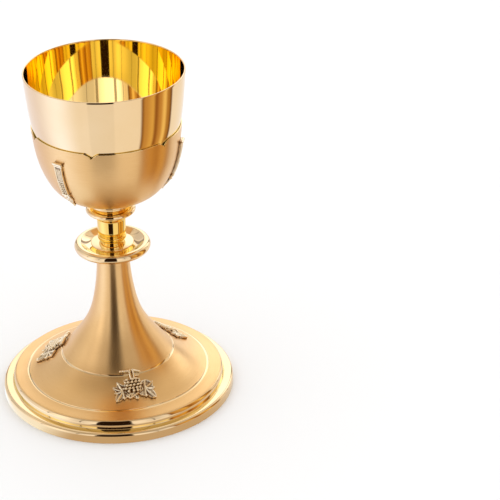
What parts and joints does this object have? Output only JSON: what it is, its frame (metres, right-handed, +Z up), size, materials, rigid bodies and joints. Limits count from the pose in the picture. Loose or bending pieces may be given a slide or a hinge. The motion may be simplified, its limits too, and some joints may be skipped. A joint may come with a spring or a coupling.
{
  "type": "communion chalice",
  "caption": "Footed drinking cup: gilded bowl in a satin sleeve with cast ornaments, on a turned neck, ring knop and flared stem-and-foot; the cup and the nut under the stem unscrew.",
  "frame": {"origin": "centre of the resting plane under the foot", "axes": "+Z up along the chalice's axis of revolution; -Y is the front, where the front foot ornament sits 14 degrees towards +X"},
  "size_m": [0.135, 0.135, 0.2],
  "materials": {
    "polished_gold": "mirror-polished and gilded",
    "satin_gold": "gilded, satin-brushed in circles about the axis",
    "cast_gold": "cast, gilded, bright on the raised parts and darker in the hollows",
    "machined_brass": "turned, not polished",
    "zinc_steel": "zinc-plated",
    "fibre": "pressed red fibre"
  },
  "bodies": {
    "foot": {"stem_foot": "satin_gold", "foot_ornament_front": "cast_gold", "foot_ornament_right": "cast_gold", "foot_ornament_left": "cast_gold", "stem_bush": "machined_brass", "tie_rod": "machined_brass", "node": "polished_gold", "neck_ring": "polished_gold", "neck_bead": "polished_gold", "neck": "polished_gold", "collar": "polished_gold"},
    "cup_lift": {"cup_washer": "fibre"},
    "cup": {"cup_bowl": "polished_gold", "cup_sleeve": "satin_gold", "cup_ornament_left": "cast_gold", "cup_ornament_right": "cast_gold", "cup_ornament_rear": "cast_gold", "cup_boss": "polished_gold"},
    "nut_drop": {"flat_washer": "zinc_steel", "spring_washer": "zinc_steel"},
    "nut": {"stem_nut": "zinc_steel"}
  },
  "joints": [
    {"name": "cup_rise", "type": "slide", "parent": "foot", "child": "cup_lift", "axis": [0, 0, 1], "range_m": [0, 0.0063]},
    {"name": "cup_unscrew", "type": "hinge", "parent": "cup_lift", "child": "cup", "pos_m": [0, 0, 0.117], "axis": [0, 0, 1], "range_deg": [0, 1800]},
    {"name": "nut_fall", "type": "slide", "parent": "foot", "child": "nut_drop", "axis": [0, 0, -1], "range_m": [0, 0.0063]},
    {"name": "nut_unscrew", "type": "hinge", "parent": "nut_drop", "child": "nut", "pos_m": [0, 0, 0.071], "axis": [0, 0, -1], "range_deg": [0, 1800]}
  ],
  "couplings": [
    {"joint": "cup_rise", "follows": "cup_unscrew", "m_per_rad": 0.00019894},
    {"joint": "nut_fall", "follows": "nut_unscrew", "m_per_rad": 0.00019894}
  ]
}
